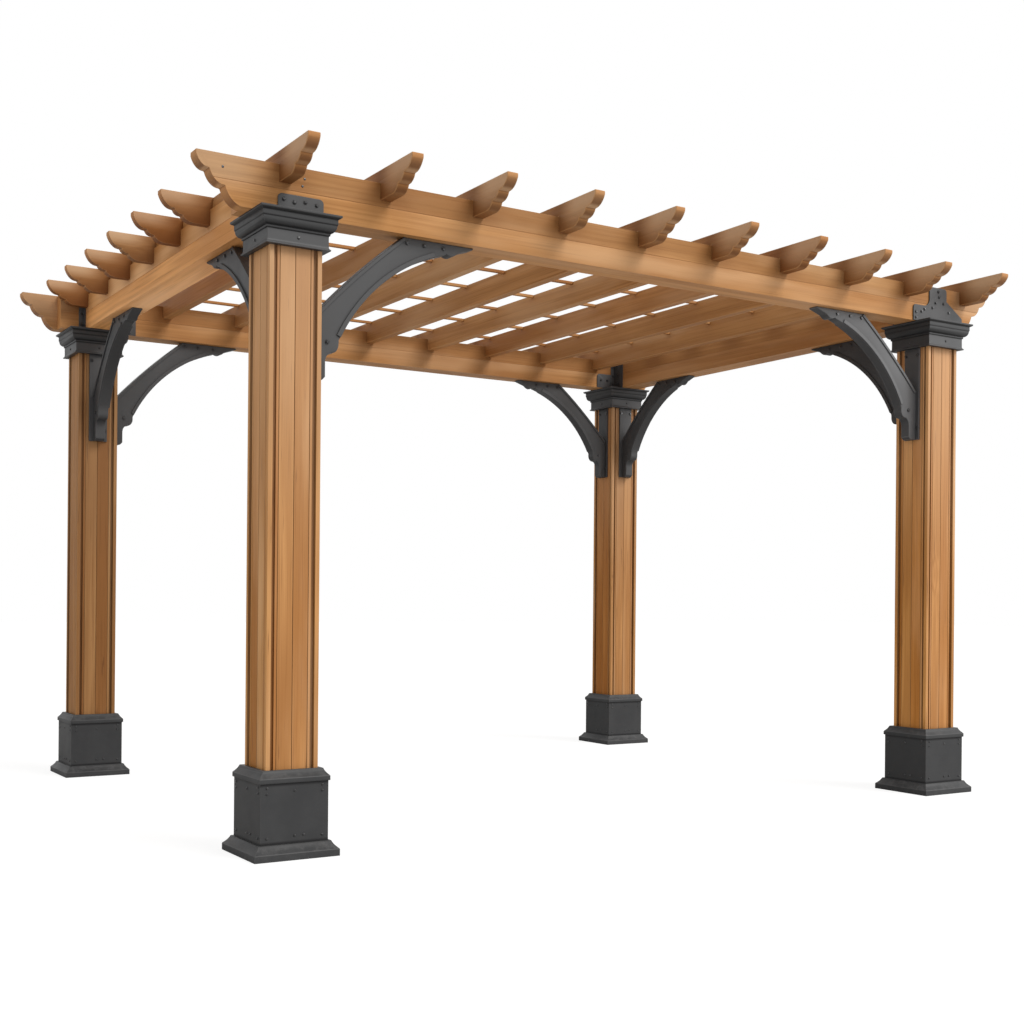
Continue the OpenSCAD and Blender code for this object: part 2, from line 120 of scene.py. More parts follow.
class Graph:
    """Small builder of a material's or a world's node tree."""

    def __init__(self, owner: Material | World) -> None:
        """Start with an empty tree.

        Args:
            owner: The material or world whose tree it is.
        """
        self.owner = owner
        owner.use_nodes = True
        self.tree = owner.node_tree
        self.tree.nodes.clear()

    def add(self, kind: str, inputs: dict[Any, Any] | None = None, **settings: Any) -> Node:
        """Add a node.

        Args:
            kind: Blender's type name of the node.
            inputs: Values or sockets for its inputs, by name or index.
            settings: Properties of the node.

        Returns:
            The new node.
        """
        node = self.tree.nodes.new(kind)
        for key, value in settings.items():
            setattr(node, key, value)
        for key, value in (inputs or {}).items():
            if isinstance(value, NodeSocket):
                self.tree.links.new(value, node.inputs[key])
            else:
                node.inputs[key].default_value = value
        return node

    def math(self, operation: str, *values: Any, clamp: bool = False) -> NodeSocket:
        """Add a Math node of up to three numbers or sockets and return its output."""
        node = self.add("ShaderNodeMath", dict(enumerate(values)), operation=operation, use_clamp=clamp)
        return node.outputs[0]

    def times(self, first: Any, second: Any) -> NodeSocket:
        """Multiply two numbers or sockets."""
        return self.math("MULTIPLY", first, second)

    def scaled(self, value: Any, factor: Any, offset: Any) -> NodeSocket:
        """Multiply a value by a factor and add an offset."""
        return self.math("MULTIPLY_ADD", value, factor, offset)

    def step(self, value: Any, low: float, high: float) -> NodeSocket:
        """Add a smooth step of a value, from 0 at low to 1 at high."""
        inputs = {"Value": value, "From Min": low, "From Max": high}
        return self.add("ShaderNodeMapRange", inputs, interpolation_type="SMOOTHSTEP").outputs["Result"]

    def fall(self, value: Any, low: float, high: float) -> NodeSocket:
        """Add a smooth fall of a value, from 1 at low to 0 at high."""
        return self.math("SUBTRACT", 1.0, self.step(value, low, high))

    def mix(self, factor: Any, first: Any, second: Any, blend: str = "MIX") -> NodeSocket:
        """Add a colour mix.

        Args:
            factor: Share of the second colour.
            first: Colour or socket at factor 0.
            second: Colour or socket at factor 1.
            blend: Blend mode.

        Returns:
            The mixed colour's socket.
        """
        colours = [c if isinstance(c, NodeSocket) else (*c, 1.0) for c in (first, second)]
        inputs = {0: factor, 6: colours[0], 7: colours[1]}
        return self.add("ShaderNodeMix", inputs, data_type="RGBA", blend_type=blend).outputs[2]

    def spread(self, value: Any, middle: float, width: float) -> NodeSocket:
        """Spread a number round a middle as a value goes from 0 to 1."""
        return self.scaled(value, width, middle - width / 2)

    def wash(self, colour: Any, tint: Any, mask: Any, share: float) -> NodeSocket:
        """Lay a share of a tint over a colour where a mask is 1."""
        return self.mix(self.times(mask, share), colour, tint)

    def noise(self, vector: Any, scale: float, detail: float, roughness: float = 0.5) -> NodeSocket:
        """Add a noise texture and return its grey output."""
        inputs = {"Vector": vector, "Scale": scale, "Detail": detail, "Roughness": roughness}
        return self.add("ShaderNodeTexNoise", inputs).outputs["Fac"]

    def attribute(self, name: str) -> NodeSocket:
        """Read a number that the mesh carries."""
        return self.add("ShaderNodeAttribute", attribute_name=name).outputs["Fac"]

    def place(self) -> NodeSocket:
        """Read the object's own coordinates."""
        return self.add("ShaderNodeTexCoord").outputs["Object"]

    def axes(self, vector: Any) -> Any:
        """Split a vector into its X, Y and Z."""
        return self.add("ShaderNodeSeparateXYZ", {0: vector}).outputs

    def facing(self) -> Any:
        """Read the direction that the surface looks in, split into its X, Y and Z."""
        return self.axes(self.add("ShaderNodeNewGeometry").outputs["Normal"])

    def leftward(self, facing: Any) -> NodeSocket:
        """Mark the faces that look to the left, away from the light."""
        return self.step(self.times(facing[0], -1.0), 0.5, 0.9)

    def finish(self, inputs: dict[str, Any]) -> Material:
        """Close the tree with the main shader.

        Args:
            inputs: Values or sockets of the shader.

        Returns:
            The finished material.
        """
        shader = self.add("ShaderNodeBsdfPrincipled", inputs)
        self.add("ShaderNodeOutputMaterial", {"Surface": shader.outputs[0]})
        return self.owner


@dataclass(frozen=True)
class Streaks:
    """Noise drawn out along a board's fibres, and the part of its range that shows."""

    lengthwise: float
    crosswise: float
    detail: float
    roughness: float = 0.5
    low: float = 0.0
    high: float = 1.0


class BoardGraph(Graph):
    """Node tree of a finish that follows the fibres of a board."""

    def __init__(self, owner: Material, grain: Grain) -> None:
        """Read where a point is on its board.

        Args:
            owner: The material.
            grain: Axis along the fibres.
        """
        super().__init__(owner)
        place = self.axes(self.place())
        self.along, self.one, self.two = (place[(grain.value + turn) % 3] for turn in range(3))
        self.height = place[2]
        self.look = self.facing()
        self.end_look = self.look[grain.value]
        self.board = self.attribute("board")
        self.shift = self.times(self.board, SEED_SHIFT)

    def stretched(self, lengthwise: float, crosswise: float) -> NodeSocket:
        """Give coordinates drawn out along the fibres and moved by the board's own seed.

        Args:
            lengthwise: Scale along the fibres.
            crosswise: Scale across them.

        Returns:
            The coordinates' socket.
        """
        return self.add("ShaderNodeCombineXYZ", {
            0: self.scaled(self.along, lengthwise, self.shift),
            1: self.scaled(self.one, crosswise, self.shift),
            2: self.times(self.two, crosswise),
        }).outputs[0]

    def streaks(self, kind: Streaks) -> NodeSocket:
        """Add streaks and return their grey output."""
        return self.noise(self.stretched(kind.lengthwise, kind.crosswise), 1.0, kind.detail, kind.roughness)

    def shown(self, kind: Streaks) -> NodeSocket:
        """Add streaks and return a mask of the part that shows."""
        return self.step(self.streaks(kind), kind.low, kind.high)


@dataclass(frozen=True)
class CedarFinish:
    """Oiled cedar: long growth bands, fine fibres, rare knots and darker end grain."""

    name: str
    grain: Grain
    pale: Colour = (0.470, 0.220, 0.072)
    warm: Colour = (0.320, 0.130, 0.033)
    deep: Colour = (0.185, 0.066, 0.015)
    band_scale: float = 15.0
    band_count: float = 6.0
    band_share: float = 0.58
    patches: Streaks = Streaks(0.7, 3.0, 2.0, 0.5, 0.40, 0.64)
    patch_share: float = 0.9
    fibres: Streaks = Streaks(2.6, 210.0, 3.0, 0.6, 0.50, 0.76)
    fibre_share: float = 0.5
    checks: Streaks = Streaks(4.0, 95.0, 2.0, 0.5, 0.67, 0.73)
    check_share: float = 0.0
    veil: Streaks = Streaks(0.9, 6.0, 3.0, 0.5, 0.46, 0.74)
    bloom: Colour = (0.560, 0.325, 0.165)
    bloom_share: float = 0.6
    knot: Colour = (0.120, 0.043, 0.013)
    knot_spread: tuple[float, float] = (1.25, 2.3)
    knot_pull: float = 0.16
    knot_turns: float = 9.0
    knot_rim: tuple[float, float] = (0.012, 0.026)
    knot_share: float = 0.5
    # painted shade: a darker band on a beam's upper board round each rafter that crosses it
    stain: Colour = (0.225, 0.080, 0.016)
    stain_start: float = 0.0
    stain_pitch: float = 1.0
    stain_core: float = 0.02
    stain_half: float = 0.15
    stain_low: float = 2.24
    stain_high: float = 2.29
    stain_share: float = 0.0
    # painted shade at a rafter's root, where it meets the beam's face
    root_at: float = 9.0
    root_length: float = 0.11
    root_share: float = 0.7
    # painted shade: a tail grows darker towards its underside
    soiled_low: float = 2.285
    soiled_high: float = 2.375
    soiled_share: float = 0.0
    # painted light: paler towards the top of a post and on the upper part of a tail near its tip
    sunned: Colour = (0.585, 0.370, 0.218)
    sunned_from: float = 9.0
    sunned_to: float = 10.0
    sunned_low: float = 2.27
    sunned_high: float = 2.38
    sunned_share: float = 0.7
    end: Colour = (0.470, 0.200, 0.058)
    end_look: tuple[float, float] = (0.2, 0.55)
    # painted shade: end grain that looks down takes the deep colour
    end_under: tuple[float, float] = (-0.85, -0.15)
    end_share: float = 0.85
    # painted light: faces that look left are lighter and more saturated
    sheltered_share: float = 0.0
    sheltered_depth: float = 0.06
    sheltered_gain: float = 0.12
    hue_spread: float = 0.008
    saturation_spread: float = -0.08
    value_spread: float = 0.16
    # painted highlight: the eased arrises take a paler tint where they catch the light
    arris: Colour = (0.560, 0.305, 0.130)
    arris_share: float = 0.4
    fibre_relief: float = 0.7
    ring_relief: float = 0.3
    roughness: float = 0.62
    roughness_spread: float = 0.24
    sheen: float = 0.25

    def material(self) -> Material:
        """Build the finish.

        Returns:
            The material.
        """
        g = BoardGraph(bpy.data.materials.new(self.name), self.grain)
        knots = g.add("ShaderNodeTexVoronoi", {"Vector": g.stretched(*self.knot_spread), "Scale": 1.0})
        knot_gap = knots.outputs["Distance"]
        swirl = g.times(g.fall(knot_gap, 0.0, self.knot_pull), self.knot_turns)
        bands = g.streaks(Streaks(0.42, self.band_scale, 2.0, 0.55))
        phase = g.scaled(bands, self.band_count * math.tau, swirl)
        rings = g.scaled(g.math("SINE", phase), 0.5, 0.5)
        fibres = g.streaks(self.fibres)
        fibre_mask = g.step(fibres, self.fibres.low, self.fibres.high)
        colour = g.mix(g.times(rings, self.band_share), self.pale, self.warm)
        colour = g.wash(colour, self.warm, g.shown(self.patches), self.patch_share)
        colour = g.wash(colour, self.deep, fibre_mask, self.fibre_share)
        colour = g.wash(colour, self.knot, g.shown(self.checks), self.check_share)
        colour = g.wash(colour, self.bloom, g.shown(self.veil), self.bloom_share)
        colour = self._weathered(g, colour)
        colour = g.wash(colour, self.knot, g.fall(knot_gap, *self.knot_rim), self.knot_share)
        # painted light on the faces that look left, away from the key light
        sheltered = g.times(g.leftward(g.look), self.sheltered_share)
        lit = g.times(g.attribute("shade"), g.scaled(sheltered, self.sheltered_gain, 1.0))
        saturation = g.spread(g.board, 1.0, self.saturation_spread)
        tone = g.add("ShaderNodeHueSaturation", {
            "Hue": g.spread(g.board, 0.5, self.hue_spread),
            "Saturation": g.scaled(sheltered, self.sheltered_depth, saturation),
            "Value": g.times(g.spread(g.board, 1.0, self.value_spread), lit),
            "Color": colour,
        }).outputs[0]
        relief = g.scaled(fibres, self.fibre_relief, g.times(rings, self.ring_relief))
        bump = {"Strength": 0.3, "Distance": 0.0009, "Height": relief}
        return g.finish({
            # painted highlight along the eased arrises
            "Base Color": g.wash(tone, self.arris, g.attribute("edge"), self.arris_share),
            "Roughness": g.spread(fibres, self.roughness, self.roughness_spread),
            "Specular IOR Level": self.sheen,
            "Normal": g.add("ShaderNodeBump", bump).outputs[0],
        })

    def _weathered(self, g: BoardGraph, colour: Any) -> NodeSocket:
        """Paint shade on a board round the rafters, at their roots and low on a tail, paint light towards the
        tips and tops, and show the end grain, with painted shade where it looks down.

        Args:
            g: Tree of the material.
            colour: Socket of the clean timber's colour.

        Returns:
            The socket of the colour with its painted light and shade.
        """
        # painted shade on the beam's upper board round each rafter
        cycle = g.scaled(g.along, 1 / self.stain_pitch, 0.5 - self.stain_start / self.stain_pitch)
        beside = g.math("ABSOLUTE", g.math("SUBTRACT", g.math("FRACT", cycle), 0.5))
        near = g.fall(g.times(beside, self.stain_pitch), self.stain_core, self.stain_half)
        rafter_shaded = g.times(near, g.step(g.height, self.stain_low, self.stain_high))
        colour = g.wash(colour, self.stain, rafter_shaded, self.stain_share)
        reach = g.math("ABSOLUTE", g.along)
        # painted shade at the rafters' roots
        root = g.math("SUBTRACT", g.step(reach, self.root_at - self.root_length, self.root_at),
                      g.step(reach, self.root_at, self.root_at + self.root_length))
        colour = g.wash(colour, self.deep, root, self.root_share)
        # painted shade low on a tail
        tail = g.step(reach, self.root_at - self.root_length / 2, self.root_at)
        tail_shade = g.times(tail, g.fall(g.height, self.soiled_low, self.soiled_high))
        colour = g.wash(colour, self.deep, tail_shade, self.soiled_share)
        # painted light towards the tips and tops
        tip = g.step(reach, self.sunned_from, self.sunned_to)
        top_lit = g.times(tip, g.step(g.height, self.sunned_low, self.sunned_high))
        colour = g.wash(colour, self.sunned, top_lit, self.sunned_share)
        # painted shade on end grain that looks down
        end_shaded_tone = g.mix(g.step(g.look[2], *self.end_under), self.deep, self.end)
        end_face = g.step(g.math("ABSOLUTE", g.end_look), *self.end_look)
        return g.wash(colour, end_shaded_tone, end_face, self.end_share)


@dataclass(frozen=True)
class PowderCoat:
    """Satin charcoal powder coat on steel, thinner and paler along its arrises."""

    name: str
    body: Colour = (0.050, 0.051, 0.053)
    cloud: Colour = (0.041, 0.042, 0.044)
    cloud_scale: float = 7.0
    # painted sheen: a paler coat high up on the faces that look front and right, towards the lights
    faded: Colour = (0.092, 0.093, 0.096)
    faded_from: float = 0.5
    faded_to: float = 2.1
    faded_share: float = 0.85
    sun_right: float = 0.4
    sun_front: float = 0.8
    sun_base: float = 0.1
    # painted shade: a darker coat on low faces that look left, and over a capital's crown
    sheltered: Colour = (0.026, 0.027, 0.028)
    sheltered_below: float = 0.5
    sheltered_share: float = 0.6
    # painted shade on faces that look down and along the creases
    grime: Colour = (0.014, 0.014, 0.015)
    under_share: float = 0.5
    # painted shade over a capital's crown
    crown_from: float = 9.0
    crown_edge: float = 0.01
    crown_share: float = 0.45
    # painted shade along the creases between the mouldings
    creases: tuple[float, ...] = ()
    crease_half: float = 0.009
    crease_share: float = 0.85
    # wear: the coat is thinner and paler along the arrises, and the grit's flecks take the same tint
    arris: Colour = (0.090, 0.090, 0.092)
    arris_share: float = 0.55
    grit_scale: float = 620.0
    grit_share: float = 0.35
    # dust, and painted light on faces that look up; near the ground only dust
    dust: Colour = (0.112, 0.111, 0.112)
    dust_scale: float = 34.0
    dust_roughness: float = 0.3
    ledge_share: float = 0.42
    splash_share: float = 0.12
    splash_height: float = 0.12
    roughness: float = 0.46
    roughness_spread: float = 0.2
    sheen: float = 0.20

    def material(self) -> Material:
        """Build the finish.

        Returns:
            The material.
        """
        g = Graph(bpy.data.materials.new(self.name))
        place = g.place()
        height = g.axes(place)[2]
        facing = g.facing()
        clouds = g.noise(place, self.cloud_scale, 4.0, 0.6)
        grit = g.noise(place, self.grit_scale, 2.0, 0.6)
        colour = g.mix(g.step(clouds, 0.32, 0.7), self.body, self.cloud)
        # painted sheen high up on the faces that look towards the lights
        sideways = g.scaled(facing[0], self.sun_right, self.sun_base)
        sunward = g.scaled(facing[1], -self.sun_front, sideways)
        top_lit = g.times(g.step(sunward, 0.0, 0.85), g.step(height, self.faded_from, self.faded_to))
        colour = g.wash(colour, self.faded, top_lit, self.faded_share)
        # painted shade on the low faces that look left
        leftward_shade = g.times(g.leftward(facing), g.math("LESS_THAN", height, self.sheltered_below))
        colour = g.wash(colour, self.sheltered, leftward_shade, self.sheltered_share)
        # painted shade on the faces that look down
        under = g.step(g.times(facing[2], -1.0), 0.1, 0.8)
        colour = g.wash(colour, self.grime, under, self.under_share)
        # painted shade over the crown
        crown = g.step(height, self.crown_from, self.crown_from + self.crown_edge)
        colour = g.wash(colour, self.sheltered, crown, self.crown_share)
        colour = g.wash(colour, self.arris, g.step(grit, 0.62, 0.8), self.grit_share)
        colour = g.wash(colour, self.arris, g.attribute("edge"), self.arris_share)
        # dust and painted light on ledges that look up, and dust splashed near the ground
        ledge = g.times(g.step(facing[2], 0.25, 0.75), self.ledge_share)
        splash = g.fall(height, 0.0, self.splash_height)
        lying = g.math("MULTIPLY_ADD", splash, self.splash_share, ledge, clamp=True)
        dust_and_top_lit = g.times(lying, g.step(g.noise(place, self.dust_scale, 5.0, 0.65), 0.42, 0.72))
        colour = g.mix(dust_and_top_lit, colour, self.dust)
        # painted shade along each crease
        for crease in self.creases:
            gap = g.math("ABSOLUTE", g.math("SUBTRACT", height, crease))
            colour = g.wash(colour, self.grime, g.fall(gap, 0.0, self.crease_half), self.crease_share)
        # painted light: the face's shade number lightens the coat of one brace
        colour = g.add("ShaderNodeHueSaturation", {"Value": g.attribute("shade"), "Color": colour}).outputs[0]
        gloss = g.spread(clouds, self.roughness, self.roughness_spread)
        bump = {"Strength": 0.22, "Distance": 0.0004, "Height": grit}
        return g.finish({
            "Base Color": colour,
            "Roughness": g.scaled(dust_and_top_lit, self.dust_roughness, gloss),
            "Specular IOR Level": self.sheen,
            "Normal": g.add("ShaderNodeBump", bump).outputs[0],
        })


@dataclass(frozen=True)
class BoltFinish:
    """Blackened steel of rivets and bolts, rubbed a little brighter in places, which also paints glints."""

    name: str
    body: Colour = (0.036, 0.036, 0.038)
    rubbed: Colour = (0.105, 0.105, 0.107)
    wear_scale: float = 160.0
    wear_polish: float = 0.12
    roughness: float = 0.34

    def material(self) -> Material:
        """Build the finish.

        Returns:
            The material.
        """
        g = Graph(bpy.data.materials.new(self.name))
        # wear and painted glints: brighter spots on the heads
        wear_and_glint = g.step(g.noise(g.place(), self.wear_scale, 3.0), 0.45, 0.7)
        return g.finish({
            "Base Color": g.mix(wear_and_glint, self.body, self.rubbed),
            "Roughness": g.scaled(wear_and_glint, -self.wear_polish, self.roughness),
            "Metallic": 0.35,
        })


@dataclass
class EasedCopy:
    """A node shown with its outer arrises eased."""

    node: str
    finish: Material
    slot: str
    width: float
    segments: int = 2
    # painted light and shade: a factor on the piece's brightness
    shade: float = 1.0

    def tone(self, centre: Vector) -> float:
        """Tone of a face's board, 0 for the deepest and 1 for the palest; a plain node is one board."""
        return random.Random(self.node).random()

    def sunk(self, centre: Vector) -> float:
        """Share of its light that a face keeps; a plain node keeps it all."""
        return 1.0

    def build(self, frame: dict[str, Any]) -> Object:
        """Copy the node, ease its arrises and let the copy stand for it.


        Returns:
            The dressed copy.
        """
        bm = bmesh.new()
        bm.from_mesh(frame["nodes"][self.node].data)
        edge = bm.faces.layers.float.new("edge")
        board = bm.faces.layers.float.new("board")
        shade = bm.faces.layers.float.new("shade")
        bmesh.ops.remove_doubles(bm, verts=bm.verts, dist=MERGE_DISTANCE)
        bmesh.ops.dissolve_limit(bm, angle_limit=FLAT_ANGLE, verts=bm.verts, edges=bm.edges)
        sharp = [
            e for e in bm.edges
            if len(e.link_faces) == 2 and e.calc_face_angle_signed(0.0) > SHARP_ANGLE
        ]
        eased = bmesh.ops.bevel(
            bm, geom=sharp, offset=self.width, offset_type="OFFSET", segments=self.segments,
            profile=0.5, affect="EDGES", clamp_overlap=True, material=-1,
        )
        for face in eased["faces"]:
            face[edge] = 1.0
        for face in bm.faces:
            centre = face.calc_center_median()
            face[shade] = self.shade * self.sunk(centre)
            face[board] = self.tone(centre)
        piece = new_piece(f"{self.node}_eased", bm, self.finish, self.slot)
        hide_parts(self.node)
        return piece


@dataclass
class CladPost(EasedCopy):
    """A post clad in boards: corner stiles and four panel boards a face, each with its own tone."""

    board_width: float = 0.056
    stile_from: float = 0.078
    groove_within: float = 0.0895
    stile_tone: float = 0.95
    groove_share: float = 0.6

    def _on_face(self, centre: Vector) -> tuple[int, float, float]:
        """Say where on the post's faces a point lies.

        Args:
            centre: Middle of a mesh face.

        Returns:
            The axis that the post's face looks along, and the distances across it and out from the middle.
        """
        low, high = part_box(self.node)
        local = centre - (low + high) / 2
        side = 0 if abs(local.x) > abs(local.y) else 1
        return side, local[1 - side], local[side]

    def tone(self, centre: Vector) -> float:
        """Tone of the cladding board that a face belongs to.

        Args:
            centre: Middle of the face.

        Returns:
            The tone, from 0 for the deepest board to 1 for the palest.
        """
        side, across, out = self._on_face(centre)
        if abs(across) > self.stile_from:
            return self.stile_tone
        return random.Random(f"{self.node} {side} {out > 0} {math.floor(across / self.board_width)}").random()

    def sunk(self, centre: Vector) -> float:
        """Share of its light that a face keeps: less in the grooves and joints behind the panel."""
        out = abs(self._on_face(centre)[2])
        return self.groove_share if out < self.groove_within else 1.0


@dataclass
class BuiltBeam(EasedCopy):
    """A beam built of an upper and a lower board, each with its own tone."""

    upper_tone: float = 0.95
    lower_tone: float = 0.80
    lower_share: float = 1.0

    def _is_upper(self, centre: Vector) -> bool:
        """Say whether a point lies in the upper board."""
        low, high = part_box(self.node)
        return centre.z > (low.z + high.z) / 2

    def tone(self, centre: Vector) -> float:
        """Tone of the board that a face belongs to."""
        return self.upper_tone if self._is_upper(centre) else self.lower_tone

    def sunk(self, centre: Vector) -> float:
        """Share of its light that a face keeps: the lower board has its own."""
        return 1.0 if self._is_upper(centre) else self.lower_share


def new_mesh(name: str, bm: BMesh) -> Mesh:
    """Make a mesh of a finished bmesh.

    Args:
        name: Name of the mesh.
        bm: The finished shape; it is freed.

    Returns:
        The new mesh.
    """
    mesh = bpy.data.meshes.new(name)
    bm.to_mesh(mesh)
    bm.free()
    return mesh


def new_piece(name: str, bm: BMesh, finish: Material, slot: str) -> Object:
    """Make an object of a finished bmesh, riding on the frame.

    Args:
        name: Name of the piece.
        bm: The finished shape; it is freed.
        finish: Its material.
        slot: A slot of the record; not used.

    Returns:
        The new object.
    """
    mesh = new_mesh(name, bm)
    mesh.shade_smooth()
    mesh.set_sharp_from_angle(angle=SMOOTH_ANGLE)
    mesh.materials.append(finish)
    piece = bpy.data.objects.new(name, mesh)
    bpy.context.scene.collection.objects.link(piece)
    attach(piece, BODY)
    LOG.info("%s: %d faces", name, len(mesh.polygons))
    return piece


@dataclass(frozen=True)
class DomeHead:
    """Domed rivet or screw head, spun from its half profile."""

    radius: float
    height: float
    sink: float = 0.0006
    sides: int = 10
    dome: tuple[Spot, ...] = ((1.0, 0.25), (0.72, 0.78), (0.3, 1.0))

    def stamp(self) -> Mesh:
        """Build the head on the origin, looking along +Z.

        Returns:
            The head's mesh.
        """
        bm = bmesh.new()
        dome = [(self.radius * out, self.height * up) for out, up in self.dome]
        profile = [(self.radius, -self.sink), *dome]
        verts = [bm.verts.new((x, 0.0, z)) for x, z in profile]
        edges = [bm.edges.new(pair) for pair in zip(verts, verts[1:])]
        bmesh.ops.spin(bm, geom=verts + edges, cent=(0, 0, 0), axis=(0, 0, 1), angle=math.tau,
                       steps=self.sides, use_merge=True)
        bmesh.ops.remove_doubles(bm, verts=bm.verts, dist=MERGE_DISTANCE)
        rims = [e for e in bm.edges if e.is_boundary]
        bmesh.ops.holes_fill(bm, edges=rims, sides=0)
        bmesh.ops.recalc_face_normals(bm, faces=bm.faces)
        return new_mesh("dome_stamp", bm)


@dataclass(frozen=True)
class HexHead:
    """Hexagon bolt head on a round washer."""

    radius: float
    height: float
    washer_radius: float
    washer_height: float = 0.0018
    washer_sides: int = 14
    washer_ease: float = 0.0005
    ease: float = 0.0012
    sink: float = 0.0006

    def stamp(self) -> Mesh:
        """Build the head and washer on the origin, looking along +Z.

        Returns:
            The head's mesh.
        """
        bm = bmesh.new()
        seat = self.washer_height
        self._disc(bm, self.washer_radius, self.washer_sides, -self.sink, seat, self.washer_ease)
        self._disc(bm, self.radius, 6, seat - self.sink, seat + self.height, self.ease)
        return new_mesh("hex_stamp", bm)

    @staticmethod
    def _disc(bm: BMesh, radius: float, sides: int, low: float, high: float, ease: float) -> None:
        """Add a prism with an eased top.

        Args:
            bm: Where it goes.
            radius: Its radius over the corners.
            sides: Number of its sides.
            low: Height of its foot.
            high: Height of its top.
            ease: Width of the eased top edge.
        """
        middle = (low + high) / 2
        made = bmesh.ops.create_cone(
            bm, cap_ends=True, segments=sides, radius1=radius, radius2=radius, depth=high - low,
            matrix=Matrix.Translation((0, 0, middle)),
        )
        rim = {e for v in made["verts"] for e in v.link_edges if all(p.co.z > middle for p in e.verts)}
        bmesh.ops.bevel(bm, geom=list(rim), offset=ease, offset_type="OFFSET", segments=1, profile=0.5,
                        affect="EDGES", material=-1)


@dataclass
class Fasteners:
    """Heads of one kind on one node, gathered into one mesh."""

    node: str
    head: ClassVar[DomeHead | HexHead]
    kind: ClassVar[str] = "bolts"

    def spots(self) -> Iterator[Seat]:
        """Give each head's point on the surface and the direction that the surface looks in."""
        raise NotImplementedError

    def build(self, finish: Material) -> Object:
        """Stamp every head into one piece.

        Args:
            finish: The heads' material.

        Returns:
            The new piece.
        """
        name = f"{self.node}_{self.kind}"
        stamp = self.head.stamp()
        turns = random.Random(name)
        bm = bmesh.new()
        for place, out in self.spots():
            before = len(bm.verts)
            bm.from_mesh(stamp)
            bm.verts.ensure_lookup_table()
            turn = out.to_track_quat("Z", "Y").to_matrix().to_4x4()
            spin = Matrix.Rotation(turns.uniform(0.0, math.tau), 4, "Z")
            bmesh.ops.transform(bm, matrix=Matrix.Translation(place) @ turn @ spin, verts=bm.verts[before:])
        bpy.data.meshes.remove(stamp)
        return new_piece(name, bm, finish, METAL_SLOT)


def plan_middle(node: str, height: float = 0.0) -> Vector:
    """Give the middle of a node's plan, at a height."""
    low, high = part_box(node)
    return Vector(((low.x + high.x) / 2, (low.y + high.y) / 2, height))


@dataclass
class FaceHeads(Fasteners):
    """Heads on the four upright faces of a square box, by distance across a face and height."""

    half: float
    rows: tuple[Spot, ...]

    def spots(self) -> Iterator[Seat]:
        """Set the same heads on each face.

        Yields:
            Each head's point and direction.
        """
        middle = plan_middle(self.node)
        for quarter in range(4):
            turn = Matrix.Rotation(quarter * math.pi / 2, 3, "Z")
            for across, height in self.rows:
                yield middle + turn @ Vector((across, -self.half, height)), turn @ Vector((0, -1, 0))


@dataclass
class PlinthRivets(FaceHeads):
    """Rivets in the upper and lower rows of a base's plinth box."""

    head: ClassVar[DomeHead] = DomeHead(0.0048, 0.0034)
    kind: ClassVar[str] = "rivets"
    half: float = 0.123
    rows: tuple[Spot, ...] = (
        (-0.100, 0.242), (-0.100, 0.222), (0.000, 0.229), (0.100, 0.244), (0.100, 0.224),
        (-0.100, 0.074), (0.000, 0.078), (0.033, 0.079), (0.100, 0.074),
    )


@dataclass
class NeckScrews(FaceHeads):
    """Screws through the faces of a capital's neck band into the post."""

    head: ClassVar[DomeHead] = DomeHead(0.0055, 0.0038)
    kind: ClassVar[str] = "screws"
    half: float = 0.112
    rows: tuple[Spot, ...] = ((0.000, 2.091),)


@dataclass(frozen=True)
class LipEdge:
    """One curved edge of a brace, in distance out from its strip and depth below the beam."""

    start: tuple[float, float]
    end: tuple[float, float]
    bow: float
    width: float
    begins: float
    finishes: float

    def arc(self) -> tuple[Vector, float]:
        """Find the arc through the ends.

        Returns:
            Its centre and its radius.
        """
        start, end = Vector(self.start), Vector(self.end)
        chord = end - start
        half = chord.length / 2
        radius = (half * half + self.bow * self.bow) / (2 * self.bow)
        across = Vector((chord.y, -chord.x)).normalized()
        return (start + end) / 2 - across * (radius - self.bow), radius


@dataclass(frozen=True)
class Brace:
    """Where one brace is; spots on it are a distance out from its strip and a depth below the beam."""

    corner: Corner
    along: Grain
    seat: float = 0.100
    half_thickness: float = 0.024

    @property
    def node(self) -> str:
        """Name of the brace's node."""
        return f"brace_{self.corner.label}_{'x' if self.along is Grain.ALONG_X else 'y'}"

    def axes(self) -> tuple[Vector, Vector, Vector]:
        """Find the brace's own axes.

        Returns:
            The point on its strip that is level with the beam's underside, the direction out
            along the beam, and the direction across it.
        """
        sign = -self.corner.value[self.along.value]
        run = Vector((sign, 0, 0)) if self.along is Grain.ALONG_X else Vector((0, sign, 0))
        root = plan_middle(f"post_{self.corner.label}", SOFFIT) + run * self.seat
        return root, run, Vector((-run.y, run.x, 0))


@dataclass
class BraceBolts(Fasteners):
    """Bolts through a brace's hooked end and knuckle, and through its backing strip."""

    brace: Brace
    head: ClassVar[HexHead] = HexHead(0.0068, 0.0040, 0.0086)
    side_spots: tuple[Spot, ...] = ((0.358, 0.020), (0.428, 0.020), (0.508, 0.020), (0.048, 0.410))
    strip_spots: tuple[Spot, ...] = ((-0.034, 0.150), (0.034, 0.150), (0.034, 0.490))

    def spots(self) -> Iterator[Seat]:
        """Set the bolts on both sides of the brace and down its strip.

        Yields:
            Each bolt's point and direction.
        """
        root, run, cross = self.brace.axes()
        for side in (-1, 1):
            skin = root + cross * side * self.brace.half_thickness
            for out, depth in self.side_spots:
                yield skin + run * out - Vector((0, 0, depth)), cross * side
        for across, depth in self.strip_spots:
            yield root + cross * across - Vector((0, 0, depth)), run


